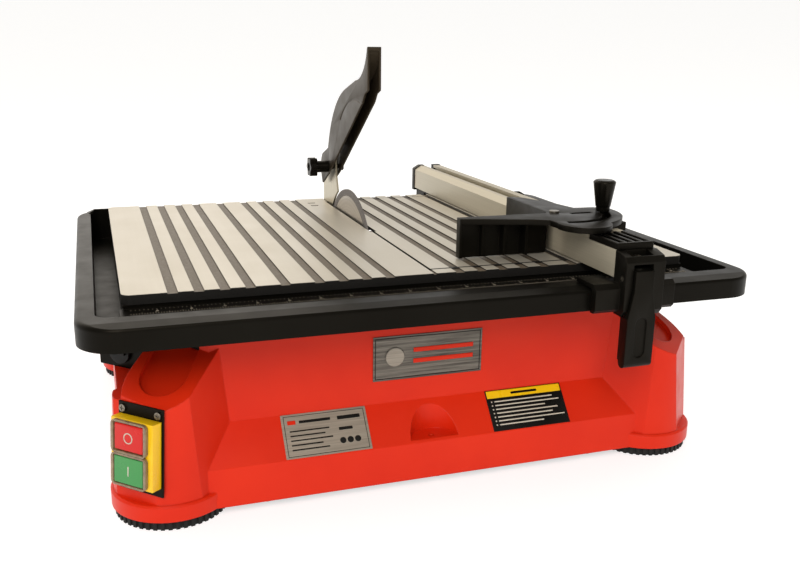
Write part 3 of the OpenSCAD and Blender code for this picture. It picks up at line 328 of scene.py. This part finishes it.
def make_materials():
    """One material for each slot in the record."""
    black = ((0.0022, 0.0021, 0.0016), (0.0042, 0.0040, 0.0032))
    rubber = ((0.005, 0.005, 0.005), (0.010, 0.010, 0.010))
    # The warm tint is painted light: it colours the black plastics' reflections to stand in for the warm
    # light on them
    warm = (1.0, 0.87, 0.70)
    even, along_y = (600, 600, 600), (1200, 6, 1200)
    return {
        "red_plastic": plastic("red_plastic", (0.64, 0.020, 0.004), (0.70, 0.026, 0.005), 0.30, 0.40,
                               1600, 0.00003, specular=0.17, edge=0.0014),
        "black_plastic": plastic("black_plastic", *black, 0.34, 0.46, 1800, 0.00004, specular=0.12,
                                 tint=warm),
        "tray_plastic": plastic("tray_plastic", *black, 0.30, 0.40, 1500, 0.00005, specular=0.085,
                                edge=0.0012, tint=warm),
        # The guard is dark plastic; the brown lift in its base colour is a painted warm sheen for its lit
        # sides, and its brown-orange reflection tint is painted warm light
        "guard_plastic": plastic("guard_plastic", (0.018, 0.014, 0.009), (0.028, 0.021, 0.014), 0.36, 0.48,
                                 1800, 0.00004, specular=0.4, tint=(1.0, 0.82, 0.6)),
        "knob_plastic": plastic("knob_plastic", *black, 0.22, 0.32, 1800, 0.00003, specular=0.14,
                                tint=warm),
        "yellow_plastic": plastic("yellow_plastic", (0.86, 0.52, 0.004), (0.92, 0.58, 0.006), 0.25, 0.35,
                                  1500, 0.00003, coat=0.2, specular=0.35, edge=0.0012),
        "clear_frame": clear_material(),
        "red_button": plastic("red_button", (0.55, 0.012, 0.010), (0.60, 0.018, 0.014), 0.22, 0.3,
                              1200, 0.00002, coat=0.1, specular=0.25, edge=0.001),
        "green_button": plastic("green_button", (0.05, 0.26, 0.075), (0.07, 0.31, 0.09), 0.22, 0.3,
                                1200, 0.00002, coat=0.1, specular=0.25, edge=0.001),
        "foot_rubber": plastic("foot_rubber", (0.006, 0.006, 0.006), (0.012, 0.012, 0.011), 0.6, 0.8,
                               900, 0.0002),
        "plug_rubber": plastic("plug_rubber", *rubber, 0.55, 0.7, 900, 0.0002),
        "seal_rubber": plastic("seal_rubber", *rubber, 0.55, 0.7, 900, 0.0002),
        "deck_coating": deck_material(),
        "rail_aluminium": brushed("rail_aluminium", (0.47, 0.43, 0.34), (0.55, 0.51, 0.41), 0.36, 0.5,
                                  along_y, metallic=0.45),
        "motor_casting": plastic("motor_casting", (0.38, 0.39, 0.40), (0.46, 0.47, 0.48), 0.45, 0.6,
                                 600, 0.0003),
        "zinc_steel": brushed("zinc_steel", (0.16, 0.145, 0.12), (0.34, 0.31, 0.26), 0.25, 0.4, even),
        "bearing_steel": brushed("bearing_steel", (0.55, 0.55, 0.56), (0.68, 0.68, 0.69), 0.18, 0.28,
                                 even),
        "lamination_steel": brushed("lamination_steel", (0.20, 0.20, 0.21), (0.36, 0.36, 0.37), 0.45, 0.6,
                                    (2000, 10, 10)),
        "blade_steel": blade_material(),
        "knife_steel": brushed("knife_steel", (0.40, 0.36, 0.27), (0.54, 0.49, 0.38), 0.28, 0.42,
                               (300, 300, 40)),
        "badge_metal": brushed("badge_metal", (0.035, 0.03, 0.027), (0.22, 0.20, 0.17), 0.3, 0.45,
                               (12, 500, 420)),
        "silver_label": brushed("silver_label", (0.24, 0.21, 0.17), (0.38, 0.34, 0.28), 0.35, 0.5,
                                (20, 900, 900), metallic=0.4),
        "black_label": plastic("black_label", *black, 0.25, 0.35, 900, 0.00002),
        "cream_plastic": plastic("cream_plastic", (0.62, 0.58, 0.48), (0.72, 0.68, 0.58), 0.4, 0.5,
                                 700, 0.00005),
    }


# ---------------------------------------------------------------- pieces

def soften(node, width):
    """A copy of a CAD node with its sharp edges rounded over, which stands for the node."""
    sharp, segments = math.radians(28), 3
    source = frame["nodes"][node]
    mesh = source.data.copy()
    mesh.name = node + "_soft"
    bm = bmesh.new()
    bm.from_mesh(mesh)
    bmesh.ops.remove_doubles(bm, verts=bm.verts, dist=2e-6)
    bmesh.ops.dissolve_limit(bm, angle_limit=math.radians(0.5), verts=bm.verts, edges=bm.edges)
    bm.to_mesh(mesh)
    bm.free()
    piece = bpy.data.objects.new(node + "_soft", mesh)
    bpy.context.collection.objects.link(piece)
    bevel = piece.modifiers.new("edges", "BEVEL")
    bevel.width, bevel.segments, bevel.limit_method = width, segments, "ANGLE"
    bevel.angle_limit = sharp
    bevel.harden_normals = True
    mesh.materials.clear()
    mesh.materials.append(MATERIALS[SLOTS[node]])
    for face in mesh.polygons:
        face.use_smooth = True
    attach(piece, BODIES[node])
    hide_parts(node)


def turn(degrees, axis):
    return Matrix.Rotation(math.radians(degrees), 4, axis)


def shift(x, y, z):
    return Matrix.Translation((x * MM, y * MM, z * MM))


# Faces that carry marks: X and Y along the face, Z out of it
SHELF = shift(0, -199, 40.5) @ turn(49.16, "X")
SWITCH = shift(-224, -165, 0) @ turn(225, "Z") @ shift(37.66, 5.5, 66) @ turn(90, "Z") @ turn(85, "X")
BADGE = shift(0, -174.3, 0) @ turn(90, "X")
LEDGE = shift(0, 0, 174.5)
# Height over the shelf at which the labels' print starts, just inside the labels, millimetres
PRINT_BASE = 0.45


class Marks:
    """Thin raised marks on one face, from low to high over it, gathered in one mesh. Millimetres."""

    def __init__(self, face, low, high):
        self.face, self.low, self.high = face, low, high
        self.verts, self.faces = [], []

    def prism(self, outline):
        """A plate with this outline, which runs anticlockwise."""
        start, n = len(self.verts), len(outline)
        for z in (self.low, self.high):
            self.verts += [self.face @ Vector((x * MM, y * MM, z * MM)) for x, y in outline]
        self.faces.append([start + n + i for i in range(n)])
        self.faces.append([start + n - 1 - i for i in range(n)])
        for i in range(n):
            k = (i + 1) % n
            self.faces.append([start + i, start + k, start + n + k, start + n + i])
        return self

    def bar(self, x0, y0, x1, y1, r=0.0):
        """A bar with its corners rounded at r."""
        if r <= 0:
            return self.prism([(x0, y0), (x1, y0), (x1, y1), (x0, y1)])
        outline = []
        corners = ((x1 - r, y0 + r, -90), (x1 - r, y1 - r, 0), (x0 + r, y1 - r, 90), (x0 + r, y0 + r, 180))
        for cx, cy, start in corners:
            for step in range(0, 91, 15):
                a = math.radians(start + step)
                outline.append((cx + r * math.cos(a), cy + r * math.sin(a)))
        return self.prism(outline)

    def disc(self, x, y, r, n=48):
        """A disc with n sides."""
        angles = [2 * math.pi * i / n for i in range(n)]
        return self.prism([(x + r * math.cos(a), y + r * math.sin(a)) for a in angles])

    def border(self, x0, y0, x1, y1, width):
        """A rectangular border, built from four bars: bottom, top, left and right."""
        self.bar(x0, y0, x1, y0 + width).bar(x0, y1 - width, x1, y1)
        return self.bar(x0, y0, x0 + width, y1).bar(x1 - width, y0, x1, y1)

    def ring(self, x, y, inner, outer, n=64):
        """A flat ring, built from n short wedges."""
        for i in range(n):
            a, b = 2 * math.pi * i / n, 2 * math.pi * (i + 1) / n
            self.prism([(x + r * math.cos(t), y + r * math.sin(t))
                        for r, t in ((outer, a), (outer, b), (inner, b), (inner, a))])
        return self

    def make(self, name, body, slot):
        mesh = bpy.data.meshes.new(name)
        mesh.from_pydata(self.verts, [], self.faces)
        mesh.materials.append(MATERIALS[slot])
        piece = bpy.data.objects.new(name, mesh)
        bpy.context.collection.objects.link(piece)
        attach(piece, body)


def switch_symbols():
    """The O and I on the two buttons."""
    cap = 14.5
    low, high = cap - 0.1, cap + 0.12
    Marks(SWITCH, low, high).ring(-1, 12.3, 3.5, 4.4).make("stop_symbol", "stop", "cream_plastic")
    start = Marks(SWITCH, low, high).bar(-1.5, -18.3, -0.5, -10.3, 0.4)
    start.make("start_symbol", "start", "cream_plastic")


def rating_marks():
    """Plain bars, discs and a border in place of the print on the shelf's left label."""
    ink = Marks(SHELF, PRINT_BASE, 0.62).border(-132, 2, -62, 37, 0.5)
    ink.bar(-119, 30, -92, 32.4, 0.5).bar(-86, 29.4, -66, 32.6, 0.5)
    for i, end in enumerate((-94, -98, -92, -101, -96)):
        ink.bar(-128, 23 - 4 * i, end, 24.2 - 4 * i, 0.3)
    ink.bar(-86, 20, -74, 22.6, 0.6)
    for x in (-84, -77.5, -71):
        ink.disc(x, 11, 2.7)
    ink.make("label_marks", "base", "black_label")
    block = Marks(SHELF, PRINT_BASE, 0.66).bar(-129, 29.4, -122, 33, 0.4)
    block.make("label_block", "base", "red_plastic")


def notice_marks():
    """A yellow header and plain rows in place of the print on the shelf's right label."""
    header = Marks(SHELF, PRINT_BASE, 0.62).bar(54, 31, 128, 38, 0.6)
    header.make("notice_header", "base", "yellow_plastic")
    rows = Marks(SHELF, PRINT_BASE, 0.60)
    for i, end in enumerate((118, 124, 109, 121, 115, 126, 104)):
        y = 27.2 - 3.6 * i
        rows.disc(57.4, y + 0.6, 0.7, 20).bar(60, y, end, y + 1.1, 0.3)
    rows.make("notice_rows", "base", "cream_plastic")
    title = Marks(SHELF, PRINT_BASE + 0.1, 0.72).bar(78, 33.4, 104, 35.6, 0.6)
    title.make("notice_title", "base", "black_label")


def badge():
    """A thin dark border, a plain boss and two plain red stripes on the brushed badge."""
    border = Marks(BADGE, -0.2, 0.12).border(-51, 92.4, 47, 129.6, 0.8)
    border.make("badge_border", "base", "black_label")
    Marks(BADGE, -0.6, 0.9).disc(-33, 112, 8.2).make("badge_boss", "base", "silver_label")
    stripes = Marks(BADGE, -0.2, 0.35).bar(-16, 115, 40, 119, 0.4).bar(-16, 105, 40, 109, 0.4)
    stripes.make("badge_stripes", "base", "red_plastic")


def rule():
    """The rule moulded on the tray's ledge: inches in eighths, and millimetres in twos."""
    inch, first, last = 25.4, -248.0, 240.0
    ticks = Marks(LEDGE, -0.2, 0.3)
    for i in range(math.ceil(first * 8 / inch), math.floor(last * 8 / inch) + 1):
        x = i * inch / 8
        ticks.bar(x - 0.22, -185.2 if i % 8 else -187.6, x + 0.22, -183.4)
    for i in range(math.ceil(first / 2), math.floor(last / 2) + 1):
        ticks.bar(2 * i - 0.2, -196, 2 * i + 0.2, -193.6 if i % 5 else -191.6)
    for i in range(math.ceil(first / inch), math.floor(last / inch) + 1):
        ticks.bar(i * inch - 1.1, -190.8, i * inch + 1.1, -188.8, 0.4)
    ticks.make("rule_ticks", "base", "silver_label")


def panel_seam_shadow():
    """Painted shadow in the seam round the removable panel beside the blade, widest at its front: a dark
    mark on the deck where the gap lies in shade.
    """
    # The painted shadow reaches further in front of the panel than the gap on its other sides
    front_shadow_width, gap, lap = 2.6, 1, 0.1
    deck_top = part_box("deck")[1][2] / MM
    low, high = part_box("access_panel")
    x0, y0, x1, y1 = low[0] / MM, low[1] / MM, high[0] / MM, high[1] / MM
    seam = Marks(shift(0, 0, deck_top), -0.4, 0.04)
    seam.bar(x0, y0 - front_shadow_width, x1 + gap, y0 + lap)
    seam.bar(x1 - lap, y0 - front_shadow_width, x1 + gap, y1 + gap)
    seam.bar(x0, y1 - lap, x1 + gap, y1 + gap)
    seam.make("panel_seam_shadow", "base", "seal_rubber")


def finish_nodes():
    """Gives every CAD node the material of its slot."""
    for name, obj in frame["nodes"].items():
        obj.data.materials.clear()
        obj.data.materials.append(MATERIALS[SLOTS[name]])


make_camera()
make_light()
make_floor()
MATERIALS = make_materials()
finish_nodes()
for node_name, edge_width in SOFTENED.items():
    soften(node_name, edge_width * MM)
switch_symbols()
rating_marks()
notice_marks()
badge()
rule()
panel_seam_shadow()
